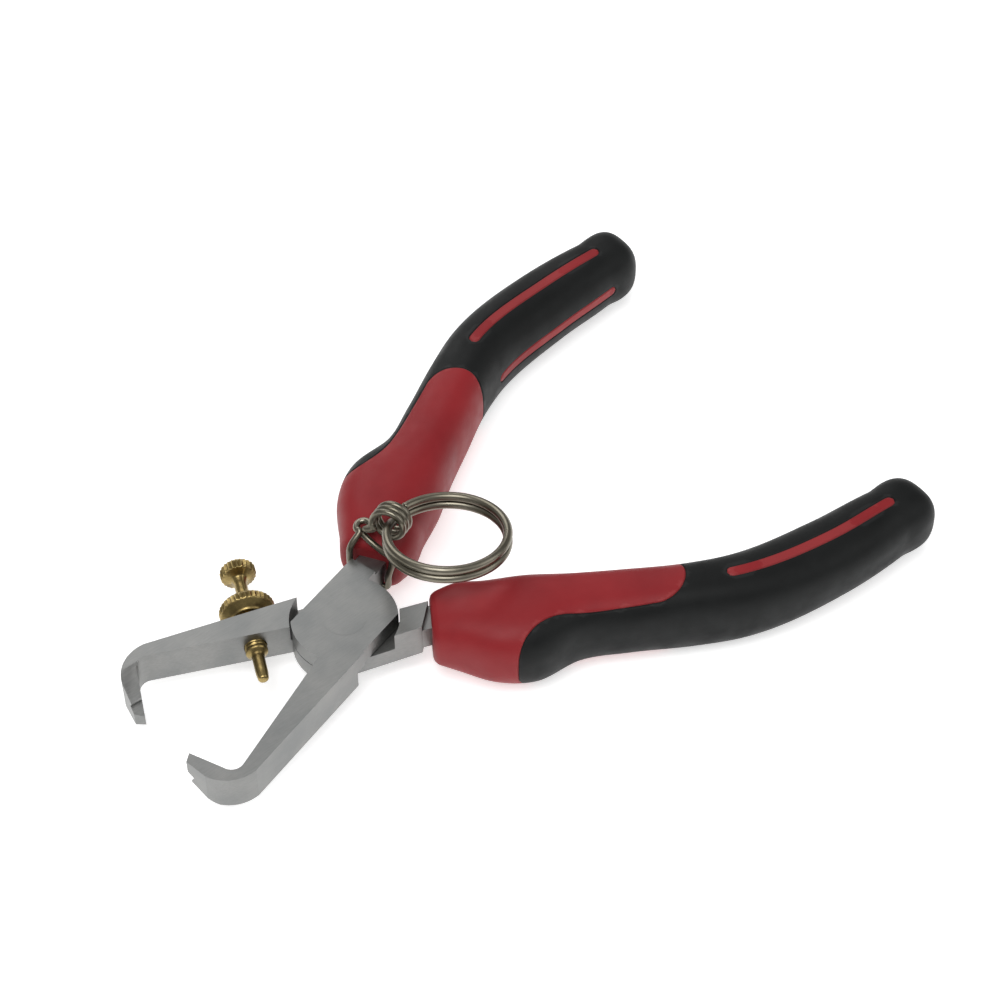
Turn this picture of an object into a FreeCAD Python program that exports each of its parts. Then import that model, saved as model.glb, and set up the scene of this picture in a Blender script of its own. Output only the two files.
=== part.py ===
import FreeCAD, Part
import Sketcher
import math
import os

# Wire stripper with hooked jaws, two-colour grips, a stop screw and a split ring.
# Frame: origin on the pivot axis at the underside of the joint, +X toward the
# handles, +Z up.  The rest pose is the open tool; the upper half is the lower one
# turned over and swung slightly toward closed.

V = FreeCAD.Vector
os.makedirs("parts", exist_ok=True)
doc = FreeCAD.newDocument("wire_stripper")


# ---------------------------------------------------------------- dimensions
SIZES = {
    # joint
    "steel_thick": 7.8,
    "lap_gap": 0.2,
    "hub_radius": 10.2,
    "shoulder_radius": 10.5,
    "hub_half_width": 7.7,
    "arm_angle": 16.7,
    "upper_swing": 0.9,
    "rivet_radius": 2.8,
    "rivet_play": 0.06,
    "rivet_head_radius": 4.2,
    "rivet_head_depth": 0.9,
    # jaw hook
    "outer_bend": 7.5,
    "inner_bend": 2.4,
    "notch_run_out": 3.0,
    "notch_depth": 2.8,
    "notch_root_low": 0.2,
    "long_prong_low": 1.4,
    "short_prong_set_back": 2.1,
    "short_prong_low": 1.1,
    "short_prong_top": 1.6,
    # how far a cutting tool runs past the piece
    "tool_overrun": 1.0,
    "screw_drill_length": 30.0,
    "flat_tool_reach": 15.0,
    # tang inside the grip
    "tang_thick": 5.2,
    # two-colour grip
    "core_wall": 2.6,
    "saddle_bend": 13.0,
    "tongue_bend": 6.6,
    "tongue_height": 23.4,
    "grip_round": 0.78,
    "stripe_width": 2.2,
    "stripe_depth": 3.2,
    "stripe_overrun": 4.0,
    # stop screw, heights along its axis from the inner face of the arm
    "screw_bore": 2.25,
    "shank_radius": 2.2,
    "shank_low": 1.6,
    "shank_top": 10.2,
    "stop_radius": 1.2,
    "stop_reach": 8.2,
    "spigot_radius": 0.8,
    "spigot_play": 0.06,
    "spigot_top": 17.0,
    "throat_foot": 10.5,
    "throat_foot_radius": 2.0,
    "throat_radius": 1.25,
    "throat_waist": 13.6,
    "head_low": 17.3,
    "head_top": 19.8,
    "head_radius": 3.5,
    "head_bore_play": 0.3,
    "nut_low": 6.5,
    "nut_shoulder": 8.1,
    "nut_top": 9.9,
    "nut_hub_radius": 3.6,
    "nut_radius": 5.4,
    "screw_chamfer": 0.5,
    # tether
    "neck_wire": 0.65,
    "loop_half_width": 3.75,
    "loop_half_height": 3.5,
    "loop_rise": 4.3,
    "loop_bend": 1.4,
    "ball_factor": 1.05,
    "eye_radius": 1.3,
    "coil_radius": 3.1,
    "coil_pitch": 1.34,
    "coil_turns": 2.825,
    "split_radius": 11.5,
    "split_wire": 0.9,
    "split_pitch": 1.84,
    "split_turns": 2.0,
    "split_rest": 0.4,
}

# Corners of the half forging, seen from above, jaw on the +Y side.
POINTS = {
    "arm_outer": (-2.0, 9.0),
    "bend_outer": (-33.0, 18.6),
    "blade_outer": (-41.0, 14.0),
    "tip_outer": (-41.9, 9.3),
    "tip_inner": (-40.4, 8.0),
    "blade_inner": (-37.3, 14.5),
    "bend_inner": (-33.9, 15.95),
    "arm_inner": (-2.0, 1.25),
    "neck_outer": (0.5, -8.2),
    "neck_end_outer": (9.6, -10.9),
    "neck_end_inner": (11.2, -5.5),
    "neck_inner": (0.5, -1.7),
    "neck_long_outer": (9.9, -11.0),
    "neck_long_inner": (14.7, -6.75),
    "tang_front_outer": (8.6, -10.4),
    "tang_knee_outer": (17.0, -13.4),
    "tang_mid_outer": (43.0, -32.0),
    "tang_bend_outer": (66.0, -43.0),
    "tang_end_outer": (88.0, -46.4),
    "tang_end_inner": (88.0, -42.4),
    "tang_bend_inner": (68.0, -39.0),
    "tang_mid_inner": (46.0, -27.4),
    "tang_knee_inner": (18.5, -8.3),
    "tang_front_inner": (10.2, -5.3),
}

# Stations of the lower grip: name, centre x and y, heading, half width, half height.
GRIP_STATIONS = [
    ("nose", 12.95, -9.9, -33.6, 6.1, 6.0),
    ("lip", 16.7, -12.6, -33.4, 7.8, 7.4),
    ("guard_front", 21.1, -17.3, -32.0, 9.3, 8.2),
    ("guard_back", 27.5, -21.6, -31.0, 9.8, 8.6),
    ("waist_front", 36.1, -25.0, -30.0, 7.3, 8.2),
    ("waist", 44.5, -30.0, -30.0, 6.9, 7.95),
    ("middle", 55.0, -36.5, -27.8, 6.6, 8.3),
    ("rear_bend", 62.4, -40.2, -21.0, 6.85, 8.2),
    ("palm", 84.0, -44.7, -5.0, 7.15, 7.1),
    ("rear", 97.8, -45.5, -1.0, 6.4, 7.0),
    ("heel", 104.6, -45.8, -0.0, 5.6, 6.5),
    ("butt", 107.5, -46.0, -0.0, 2.6, 4.1),
]

# Outline of the red tongue of the lower grip, seen from above.
TONGUE = {
    "nose_near": (2.0, -1.0),
    "nose_far": (2.0, -35.0),
    "lip_far": (13.5, -35.0),
    "saddle_end": (31.2, -27.8),
    "tongue_far": (46.0, -36.0),
    "tongue_end": (56.3, -31.0),
    "tongue_near": (55.5, -8.0),
}

# Places and headings of the screw and the tether.
PLACES = {
    "screw_face": (-15.54, 7.47),
    "loop_centre": (12.28, 8.64),
    "eye": (14.1, 12.5),
    "coil": (17.52, 8.12),
}
HEADINGS = {
    "eye_height": 8.5,
    "coil_height": 11.6,
    "screw_slant": 24.7,
    "loop_heading": 33.1,
    "ring_heading": -62.7,
    "ring_pitch": -4.9,
    "ring_roll": -11.0,
    "coil_leg_angle": 153.0,
    "eye_lean_x": -1.6,
    "eye_lean_y": -0.5,
}


def make_sheet():
    """Put every driving dimension in a spreadsheet cell with an alias."""
    sheet = doc.addObject("Spreadsheet::Sheet", "size")
    cells = dict(SIZES)
    cells.update(HEADINGS)
    for table in (POINTS, TONGUE, PLACES):
        for name, (x, y) in table.items():
            cells[name + "_x"] = x
            cells[name + "_y"] = y
    for name, x, y, heading, half_width, half_height in GRIP_STATIONS:
        cells[name + "_x"] = x
        cells[name + "_y"] = y
        cells[name + "_heading"] = heading
        cells[name + "_width"] = half_width
        cells[name + "_height"] = half_height
    for row, (alias, value) in enumerate(cells.items(), start=1):
        sheet.set("A%d" % row, alias.replace("_", " "))
        sheet.set("B%d" % row, str(value))
        sheet.setAlias("B%d" % row, alias)
    doc.recompute()
    return sheet


SHEET = make_sheet()


def cell(alias):
    """Read one dimension back from the spreadsheet."""
    return float(SHEET.get(alias))


def point(name):
    return V(cell(name + "_x"), cell(name + "_y"), 0)


def evaluate(text):
    """Value of an expression that names cells as size.alias."""
    return float(SHEET.evalExpression(text.replace("size.", "")))


# ------------------------------------------------------------ sketch helpers
def new_body(label):
    body = doc.addObject("PartDesign::Body", label)
    body.Label = label
    return body


def add_sketch(body, name, role="XY_Plane", lift=None, turn=None):
    """Add a sketch on one of the body's own origin planes."""
    plane = [f for f in body.Origin.OriginFeatures if f.Role == role][0]
    sketch = body.newObject("Sketcher::SketchObject", name)
    sketch.AttachmentSupport = [(plane, "")]
    sketch.MapMode = "FlatFace"
    offset = FreeCAD.Placement()
    if turn is not None:
        offset.Rotation = turn
    sketch.AttachmentOffset = offset
    if lift is not None:
        sketch.setExpression("AttachmentOffset.Base.z", lift)
    return sketch


def constrain(sketch, constraint, expression=None):
    index = sketch.addConstraint(constraint)
    if expression is not None:
        sketch.setExpression("Constraints[%d]" % index, expression)
    return index


def pin_vertex(sketch, geometry, end, x, y, x_text, y_text):
    """Hold one vertex at a position given by two expressions."""
    for axis, value, text in (("DistanceX", x, x_text), ("DistanceY", y, y_text)):
        if value >= 0:
            link = Sketcher.Constraint(axis, -1, 1, geometry, end, value)
            constrain(sketch, link, text)
        else:
            link = Sketcher.Constraint(axis, geometry, end, -1, 1, -value)
            constrain(sketch, link, "-(%s)" % text)


def arc_between(start, end, radius, side):
    """Arc of a given radius from start to end, bulging to one side of the chord."""
    chord = end - start
    middle = (start + end) * 0.5
    normal = V(-chord.y, chord.x, 0).normalize() * side
    reach = math.sqrt(radius ** 2 - (chord.Length / 2) ** 2)
    centre = middle - normal * reach
    top = centre + normal * radius
    if side > 0:
        return Part.Arc(end, top, start)
    return Part.Arc(start, top, end)


def draw_outline(sketch, corners, arcs=None, prefix="size."):
    """Closed outline through named corners; arcs maps a corner to (radius, side)."""
    arcs = arcs or {}
    ids = []
    ends = []
    for index, name in enumerate(corners):
        start = point(name)
        end = point(corners[(index + 1) % len(corners)])
        if name in arcs:
            radius_name, side = arcs[name]
            curve = arc_between(start, end, cell(radius_name), side)
            ids.append(sketch.addGeometry(curve, False))
            placed = sketch.Geometry[ids[-1]]
            first = 1 if placed.StartPoint.sub(start).Length < 1e-6 else 2
        else:
            ids.append(sketch.addGeometry(Part.LineSegment(start, end), False))
            first = 1
        ends.append((first, 3 - first))
    for index, name in enumerate(corners):
        following = (index + 1) % len(corners)
        where = point(name)
        text_x = prefix + name + "_x"
        text_y = prefix + name + "_y"
        pin_vertex(sketch, ids[index], ends[index][0], where.x, where.y, text_x, text_y)
        link = Sketcher.Constraint("Coincident", ids[index], ends[index][1],
                                   ids[following], ends[following][0])
        constrain(sketch, link)
        if name in arcs:
            radius_name = arcs[name][0]
            rule = Sketcher.Constraint("Radius", ids[index], cell(radius_name))
            constrain(sketch, rule, prefix + radius_name)
    return sketch


def draw_circle(sketch, radius_name, centre=None):
    """Circle at the origin or at a named point, its radius bound to the sheet."""
    where = V(0, 0, 0) if centre is None else point(centre)
    ring = sketch.addGeometry(Part.Circle(where, V(0, 0, 1), cell(radius_name)), False)
    constrain(sketch, Sketcher.Constraint("Radius", ring, cell(radius_name)),
              "size." + radius_name)
    if centre is None:
        constrain(sketch, Sketcher.Constraint("Coincident", ring, 3, -1, 1))
    else:
        pin_vertex(sketch, ring, 3, where.x, where.y,
                   "size." + centre + "_x", "size." + centre + "_y")
    return ring


def add_pad(body, sketch, name, length):
    pad = body.newObject("PartDesign::Pad", name)
    pad.Profile = sketch
    pad.setExpression("Length", length)
    return pad


def add_pocket(body, sketch, name, length, reverse=False):
    pocket = body.newObject("PartDesign::Pocket", name)
    pocket.Profile = sketch
    pocket.setExpression("Length", length)
    pocket.Reversed = reverse
    return pocket


def add_rounded_section(sketch, half_width, half_height):
    """Rounded rectangle about the sketch origin, sizes given as expressions."""
    wide = evaluate(half_width)
    tall = evaluate(half_height)
    soft = min(wide, tall) * cell("grip_round")
    flat_x = wide - soft
    flat_y = tall - soft
    centres = [(flat_x, flat_y), (-flat_x, flat_y), (-flat_x, -flat_y), (flat_x, -flat_y)]
    arcs = []
    for quarter, (x, y) in enumerate(centres):
        circle = Part.Circle(V(x, y, 0), V(0, 0, 1), soft)
        start = quarter * math.pi / 2
        arcs.append(sketch.addGeometry(Part.ArcOfCircle(circle, start, start + math.pi / 2), False))
    lines = []
    for quarter in range(4):
        first = sketch.Geometry[arcs[quarter]].EndPoint
        last = sketch.Geometry[arcs[(quarter + 1) % 4]].StartPoint
        lines.append(sketch.addGeometry(Part.LineSegment(first, last), False))
    for quarter in range(4):
        following = arcs[(quarter + 1) % 4]
        constrain(sketch, Sketcher.Constraint("Tangent", arcs[quarter], 2, lines[quarter], 1))
        constrain(sketch, Sketcher.Constraint("Tangent", lines[quarter], 2, following, 1))
    for quarter in (0, 2):
        constrain(sketch, Sketcher.Constraint("Horizontal", lines[quarter]))
        constrain(sketch, Sketcher.Constraint("Vertical", lines[quarter + 1]))
    for quarter in range(1, 4):
        constrain(sketch, Sketcher.Constraint("Equal", arcs[0], arcs[quarter]))
    radius = "min(%s; %s) * size.grip_round" % (half_width, half_height)
    constrain(sketch, Sketcher.Constraint("Radius", arcs[0], soft), radius)
    edges = (("DistanceY", lines[0], tall, half_height, 1),
             ("DistanceY", lines[2], tall, half_height, -1),
             ("DistanceX", lines[1], wide, half_width, -1),
             ("DistanceX", lines[3], wide, half_width, 1))
    for axis, line, value, text, side in edges:
        if side > 0:
            rule = Sketcher.Constraint(axis, -1, 1, line, 1, value)
        else:
            rule = Sketcher.Constraint(axis, line, 1, -1, 1, value)
        constrain(sketch, rule, text)


# ------------------------------------------------------------- steel halves
ARM = ["arm_outer", "bend_outer", "blade_outer", "tip_outer", "tip_inner",
       "blade_inner", "bend_inner", "arm_inner"]
ARM_ARCS = {"bend_outer": ("outer_bend", -1), "blade_inner": ("inner_bend", 1)}
SHORT_NECK = ["neck_outer", "neck_end_outer", "neck_end_inner", "neck_inner"]
LONG_NECK = ["neck_outer", "neck_long_outer", "neck_long_inner", "neck_inner"]
TANG = ["tang_front_outer", "tang_knee_outer", "tang_mid_outer", "tang_bend_outer",
        "tang_end_outer", "tang_end_inner", "tang_bend_inner", "tang_mid_inner",
        "tang_knee_inner", "tang_front_inner"]
MID_HEIGHT = "size.steel_thick / 2"
LAP_HEIGHT = "(size.steel_thick - size.lap_gap) / 2"


def flip_to_upper(thing):
    """Turn a piece of the lower half over, and swing it a little toward closed."""
    turned_over = FreeCAD.Rotation(V(1, 0, 0), 180)
    swing = FreeCAD.Rotation(V(0, 0, 1), -cell("upper_swing"))
    thing.Placement = FreeCAD.Placement(V(0, 0, cell("steel_thick")), swing * turned_over)


def draw_box(sketch, low_x, high_x, low_y, high_y):
    """Rectangle whose four sides are held by expressions."""
    left, right, low, high = [evaluate(text) for text in (low_x, high_x, low_y, high_y)]
    corners = [V(left, low, 0), V(right, low, 0), V(right, high, 0), V(left, high, 0)]
    ids = [sketch.addGeometry(Part.LineSegment(corners[k], corners[(k + 1) % 4]), False)
           for k in range(4)]
    for k in range(4):
        link = Sketcher.Constraint("Coincident", ids[k], 2, ids[(k + 1) % 4], 1)
        constrain(sketch, link)
    for k in (0, 2):
        constrain(sketch, Sketcher.Constraint("Horizontal", ids[k]))
        constrain(sketch, Sketcher.Constraint("Vertical", ids[k + 1]))
    pin_vertex(sketch, ids[0], 1, left, low, low_x, low_y)
    pin_vertex(sketch, ids[2], 1, right, high, high_x, high_y)


def add_hub(body):
    """Lap plate: a disc with two flats parallel to the arm."""
    disc = add_sketch(body, "hub_disc")
    draw_circle(disc, "hub_radius")
    add_pad(body, disc, "hub_plate", LAP_HEIGHT)
    turn = FreeCAD.Rotation(V(0, 0, 1), -cell("arm_angle"))
    for side, name in ((1, "far"), (-1, "near")):
        flat = add_sketch(body, "hub_flat_" + name, turn=turn)
        inner = "size.hub_half_width"
        outer = "size.flat_tool_reach"
        if side > 0:
            draw_box(flat, "-" + outer, outer, inner, outer)
        else:
            draw_box(flat, "-" + outer, outer, "-" + outer, "-" + inner)
        add_pocket(body, flat, "hub_cut_" + name, "size.steel_thick", reverse=True)


def add_notch(body):
    """V notch across the blade's end, between a long low prong and a short high one."""
    sketch = add_sketch(body, "notch_profile", role="YZ_Plane")
    sketch.setExpression("AttachmentOffset.Base.z", "size.tip_outer_x - size.notch_run_out")
    outside = "size.tip_inner_y - size.tool_overrun"
    above = "size.steel_thick + size.tool_overrun"
    short_end = "size.tip_inner_y + size.short_prong_set_back"
    closed_profile(sketch, [
        (outside, MID_HEIGHT + " - size.long_prong_low"),
        ("size.tip_inner_y", MID_HEIGHT + " - size.long_prong_low"),
        ("size.tip_inner_y + size.notch_depth", MID_HEIGHT + " - size.notch_root_low"),
        (short_end, MID_HEIGHT + " + size.short_prong_low"),
        (short_end, MID_HEIGHT + " + size.short_prong_top"),
        ("size.bend_inner_y", "size.steel_thick"),
        ("size.bend_inner_y", above),
        (outside, above),
    ])
    length = "size.bend_inner_x - size.tip_outer_x + size.notch_run_out"
    add_pocket(body, sketch, "notch", length, reverse=True)


def add_screw_bore(body):
    """Bore for the stop screw, square to the inner face of the arm."""
    face = point("screw_face")
    slant = cell("screw_slant")
    turn = FreeCAD.Rotation(V(0, 0, 1), -slant) * FreeCAD.Rotation(V(1, 0, 0), 90)
    sketch = add_sketch(body, "screw_bore_profile")
    sketch.AttachmentOffset = FreeCAD.Placement(V(face.x, face.y, cell("steel_thick") / 2), turn)
    draw_circle(sketch, "screw_bore")
    pocket = add_pocket(body, sketch, "screw_bore", "size.screw_drill_length")
    pocket.Midplane = True


def closed_profile(sketch, profile):
    """Closed polygon whose corners are (x, y) expressions."""
    corners = [V(evaluate(x), evaluate(y), 0) for x, y in profile]
    count = len(corners)
    ids = [sketch.addGeometry(Part.LineSegment(corners[k], corners[(k + 1) % count]), False)
           for k in range(count)]
    for k in range(count):
        link = Sketcher.Constraint("Coincident", ids[k], 2, ids[(k + 1) % count], 1)
        constrain(sketch, link)
        pin_vertex(sketch, ids[k], 1, corners[k].x, corners[k].y, *profile[k])


def add_rivet_hole(body, play):
    """Countersunk hole for the rivet, wider by the play."""
    sketch = add_sketch(body, "rivet_hole_profile", role="XZ_Plane")
    wide = "size.rivet_head_radius + " + play
    narrow = "size.rivet_radius + " + play
    closed_profile(sketch, [
        ("0", "-size.tool_overrun"),
        (wide, "-size.tool_overrun"),
        (wide, "0"),
        (narrow, "size.rivet_head_depth"),
        (narrow, "size.steel_thick"),
        ("0", "size.steel_thick"),
    ])
    groove = body.newObject("PartDesign::Groove", "rivet_hole")
    groove.Profile = sketch
    groove.ReferenceAxis = (sketch, ["V_Axis"])
    groove.Angle = 360.0


def build_half(label, neck_corners, with_screw, rivet_play):
    """One forging; its neck is short where the tether's wire goes round it."""
    body = new_body(label)
    add_hub(body)
    arm = add_sketch(body, "arm_outline")
    draw_outline(arm, ARM, ARM_ARCS)
    add_pad(body, arm, "arm", "size.steel_thick")
    neck = add_sketch(body, "neck_outline")
    draw_outline(neck, neck_corners)
    add_pad(body, neck, "neck", "size.steel_thick")
    shoulder = add_sketch(body, "shoulder_circle", lift=LAP_HEIGHT)
    draw_circle(shoulder, "shoulder_radius")
    add_pocket(body, shoulder, "shoulder", "size.steel_thick", reverse=True)
    tang = add_sketch(body, "tang_outline",
                      lift="(size.steel_thick - size.tang_thick) / 2")
    draw_outline(tang, TANG)
    add_pad(body, tang, "tang", "size.tang_thick")
    add_notch(body)
    if with_screw:
        add_screw_bore(body)
    add_rivet_hole(body, rivet_play)
    return body


# -------------------------------------------------------------------- grips
def add_grip_loft(label, first, last, shrink):
    """Loft through the grip stations, optionally set in from the surface."""
    body = new_body(label)
    names = [station[0] for station in GRIP_STATIONS]
    chosen = names[names.index(first):names.index(last) + 1]
    sections = []
    for name in chosen:
        turn = FreeCAD.Rotation(V(0, 1, 0), cell(name + "_heading"))
        sketch = add_sketch(body, label + "_" + name, role="YZ_Plane", turn=turn)
        sketch.setExpression("AttachmentOffset.Base.x", "size.%s_y" % name)
        sketch.setExpression("AttachmentOffset.Base.y", MID_HEIGHT)
        sketch.setExpression("AttachmentOffset.Base.z", "size.%s_x" % name)
        inset = " - size.core_wall" if shrink else ""
        add_rounded_section(sketch, "size.%s_width%s" % (name, inset),
                            "size.%s_height%s" % (name, inset))
        sections.append(sketch)
    loft = body.newObject("PartDesign::AdditiveLoft", label + "_loft")
    loft.Profile = sections[0]
    loft.Sections = sections[1:]
    loft.Ruled = False
    return body


def stripe_edge(shift):
    """Points of the rear grip's centre line, moved sideways by shift."""
    points = []
    for name in ("rear_bend", "palm", "rear"):
        heading = math.radians(cell(name + "_heading"))
        normal = V(-math.sin(heading), math.cos(heading), 0)
        points.append(point(name) + normal * shift)
    return points


def stripe_face(low, high):
    """Flat strip that follows the centre line between two sideways shifts."""
    near = Part.BSplineCurve()
    near.interpolate(stripe_edge(low))
    far = Part.BSplineCurve()
    far.interpolate(stripe_edge(high))
    front = Part.LineSegment(far.StartPoint, near.StartPoint)
    back = Part.LineSegment(near.EndPoint, far.EndPoint)
    wire = Part.Wire([near.toShape(), back.toShape(), far.toShape().reversed(), front.toShape()])
    return Part.Face(wire)


def add_stripe(label, low, high, bottom, top):
    """Rib of the red core that shows through a slot in the black cover."""
    stripe = doc.addObject("Part::Feature", label)
    strip = stripe_face(low, high)
    strip.translate(V(0, 0, bottom))
    stripe.Shape = strip.extrude(V(0, 0, top - bottom))
    return stripe


def join(kind, label, base, tool):
    """Part boolean of two document objects."""
    result = doc.addObject(kind, label)
    result.Base = base
    result.Tool = tool
    return result


def build_grip_parts():
    """Red core and black cover of the lower grip; their union fills the envelope."""
    envelope = add_grip_loft("grip_envelope", "nose", "butt", shrink=False)
    sleeve = add_grip_loft("core_sleeve", "guard_back", "rear", shrink=True)
    tongue = new_body("tongue_prism")
    outline = add_sketch(tongue, "tongue_outline", lift="-size.steel_thick")
    draw_outline(outline, ["nose_near", "nose_far", "lip_far", "saddle_end",
                           "tongue_far", "tongue_end", "tongue_near"],
                 {"lip_far": ("saddle_bend", 1), "tongue_far": ("tongue_bend", -1)})
    add_pad(tongue, outline, "tongue", "size.tongue_height")
    middle = cell("steel_thick") / 2
    half = cell("stripe_width") / 2
    overrun = cell("stripe_overrun")
    reach = cell("rear_bend_height") + overrun
    root = cell("rear_height") - cell("stripe_depth")
    side = cell("rear_width") - cell("stripe_depth")
    outside = cell("rear_bend_width") + overrun
    stripes = [
        add_stripe("top_rib", -half, half, middle + root, middle + reach),
        add_stripe("bottom_rib", -half, half, middle - reach, middle - root),
        add_stripe("side_rib", side, outside, middle - half, middle + half),
    ]
    red = doc.addObject("Part::MultiFuse", "red_region")
    red.Shapes = [tongue, sleeve] + stripes
    return envelope, red


# ----------------------------------------------------- rivet and stop screw
def turned_piece(label, profile):
    """Turned piece about +Z: profile is a list of (radius, height) expressions."""
    body = new_body(label)
    sketch = add_sketch(body, label + "_profile", role="XZ_Plane")
    closed_profile(sketch, profile)
    turned = body.newObject("PartDesign::Revolution", label + "_turned")
    turned.Profile = sketch
    turned.ReferenceAxis = (sketch, ["V_Axis"])
    turned.Angle = 360.0
    return body


def screw_placement():
    """Frame of the screw: +Z out of the arm, origin on its inner face."""
    face = point("screw_face")
    turn = FreeCAD.Rotation(V(0, 0, 1), -cell("screw_slant")) * FreeCAD.Rotation(V(1, 0, 0), -90)
    return FreeCAD.Placement(V(face.x, face.y, cell("steel_thick") / 2), turn)


def build_rivet():
    """Rivet with a flush countersunk head at each end."""
    return turned_piece("pivot_rivet", [
        ("0", "0"),
        ("size.rivet_head_radius", "0"),
        ("size.rivet_radius", "size.rivet_head_depth"),
        ("size.rivet_radius", "size.steel_thick - size.rivet_head_depth"),
        ("size.rivet_head_radius", "size.steel_thick"),
        ("0", "size.steel_thick"),
    ])


def build_stop_screw():
    """Threaded shank with a turned-down stop at one end and a spigot at the other."""
    soft = "size.screw_chamfer"
    return turned_piece("stop_screw", [
        ("0", "-size.stop_reach"),
        ("size.stop_radius - %s" % soft, "-size.stop_reach"),
        ("size.stop_radius", "-size.stop_reach + %s" % soft),
        ("size.stop_radius", "-size.shank_low - %s" % soft),
        ("size.shank_radius", "-size.shank_low"),
        ("size.shank_radius", "size.shank_top"),
        ("size.spigot_radius", "size.shank_top"),
        ("size.spigot_radius", "size.spigot_top"),
        ("0", "size.spigot_top"),
    ])


def build_thumb_head():
    soft = "size.screw_chamfer"
    bore = "size.spigot_radius + size.spigot_play"
    return turned_piece("thumb_head", [
        (bore, "size.throat_foot"),
        ("size.throat_foot_radius", "size.throat_foot"),
        ("size.throat_radius", "size.throat_waist"),
        ("size.throat_radius", "size.head_low - %s" % soft),
        ("size.head_radius - %s" % soft, "size.head_low"),
        ("size.head_radius", "size.head_low + %s" % soft),
        ("size.head_radius", "size.head_top - %s" % soft),
        ("size.head_radius - %s" % soft, "size.head_top"),
        ("0", "size.head_top"),
        ("0", "size.spigot_top + size.head_bore_play"),
        (bore, "size.spigot_top + size.head_bore_play"),
    ])


def build_lock_nut():
    soft = "size.screw_chamfer"
    return turned_piece("lock_nut", [
        ("size.screw_bore", "size.nut_low"),
        ("size.nut_hub_radius", "size.nut_low"),
        ("size.nut_radius - %s" % soft, "size.nut_shoulder - %s" % soft),
        ("size.nut_radius", "size.nut_shoulder"),
        ("size.nut_radius", "size.nut_top - %s" % soft),
        ("size.nut_radius - %s" % soft, "size.nut_top"),
        ("size.screw_bore", "size.nut_top"),
    ])


# ------------------------------------------------------------------- tether
def sweep_wire(path, radius):
    """Round wire of a given radius along a path."""
    edge = path.Edges[0]
    start = edge.valueAt(edge.FirstParameter)
    along = edge.tangentAt(edge.FirstParameter)
    ring = Part.Wire([Part.makeCircle(radius, start, along)])
    return path.makePipeShell([ring], True, True)


def rounded_path(corners, radius):
    """Closed polyline with its corners rounded."""
    count = len(corners)
    edges = []
    tangent_points = []
    for k in range(count):
        here = corners[k]
        before = (corners[k - 1] - here).normalize()
        after = (corners[(k + 1) % count] - here).normalize()
        half = before.getAngle(after) / 2
        setback = radius / math.tan(half)
        middle = (before + after).normalize() * (radius / math.sin(half) - radius)
        tangent_points.append((here + before * setback, here + middle, here + after * setback))
    for k in range(count):
        first, top, last = tangent_points[k]
        edges.append(Part.Arc(first, top, last).toShape())
        following = tangent_points[(k + 1) % count][0]
        edges.append(Part.LineSegment(last, following).toShape())
    return Part.Wire(edges)


def tether_frame():
    """Frame of the coil: X toward the ring's middle, Y along the coil's axis."""
    place = point("coil") + V(0, 0, cell("steel_thick") / 2 + cell("coil_height"))
    turn = FreeCAD.Rotation(cell("ring_heading"), cell("ring_pitch"), cell("ring_roll"))
    return FreeCAD.Placement(place, turn)


def loop_corners():
    """Corners of the wire loop that goes round the neck, rising on its outer side."""
    heading = math.radians(cell("loop_heading"))
    across = V(-math.sin(heading), math.cos(heading), 0)
    centre = point("loop_centre") + V(0, 0, cell("steel_thick") / 2)
    wide = cell("loop_half_width")
    tall = cell("loop_half_height")
    up = V(0, 0, 1)
    return [centre - across * wide - up * tall,
            centre + across * wide - up * tall,
            centre + across * wide + up * (tall + cell("loop_rise")),
            centre - across * wide + up * tall]


def helix_wire(radius, pitch, turns):
    """Helix about +Z, centred on the origin."""
    path = Part.makeLongHelix(pitch, pitch * turns, radius)
    path.translate(V(0, 0, -pitch * turns / 2))
    return path


def capped_rod(start, end, radius):
    """Straight piece of round wire with slightly fuller ball ends."""
    along = end - start
    rod = Part.makeCylinder(radius, along.Length, start, along)
    ball = radius * cell("ball_factor")
    return rod.fuse([Part.makeSphere(ball, start), Part.makeSphere(ball, end)])


def build_neck_wire():
    """Loop round the neck, a small eye and the coil that carries the split ring."""
    wire = cell("neck_wire")
    corners = loop_corners()
    loop = sweep_wire(rounded_path(corners, cell("loop_bend")), wire)
    frame = tether_frame()
    half_length = cell("coil_pitch") * cell("coil_turns") / 2
    eye = point("eye") + V(0, 0, cell("steel_thick") / 2 + cell("eye_height"))
    leg_angle = math.radians(cell("coil_leg_angle"))
    reach = cell("coil_radius")
    coil = sweep_wire(helix_wire(reach, cell("coil_pitch"), cell("coil_turns")), wire)
    lay = FreeCAD.Placement(V(0, 0, 0), FreeCAD.Rotation(V(1, 0, 0), -90))
    spin = FreeCAD.Placement(V(0, 0, 0), FreeCAD.Rotation(V(0, 0, 1), math.degrees(leg_angle)))
    place = frame.multiply(lay).multiply(spin)
    coil.Placement = place
    coil_end = place.multVec(V(reach, 0, -half_length))
    bend = loop_end(corners)
    line = (coil_end - bend).normalize()
    lean = V(cell("eye_lean_x"), cell("eye_lean_y"), 1)
    normal = (lean - line * lean.dot(line)).normalize()
    torus = Part.makeTorus(cell("eye_radius"), wire, eye, normal)
    upper_leg = capped_rod(coil_end, nearest_rim(eye, normal, coil_end), wire)
    lower_leg = capped_rod(bend, nearest_rim(eye, normal, bend), wire)
    piece = doc.addObject("Part::Feature", "neck_wire")
    piece.Shape = loop.fuse([coil, torus, upper_leg, lower_leg]).removeSplitter()
    return piece


def loop_end(corners):
    """Middle of the loop's raised corner."""
    raised = corners[2]
    before = (corners[1] - raised).normalize()
    after = (corners[3] - raised).normalize()
    half = before.getAngle(after) / 2
    radius = cell("loop_bend")
    return raised + (before + after).normalize() * (radius / math.sin(half) - radius)


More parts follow.
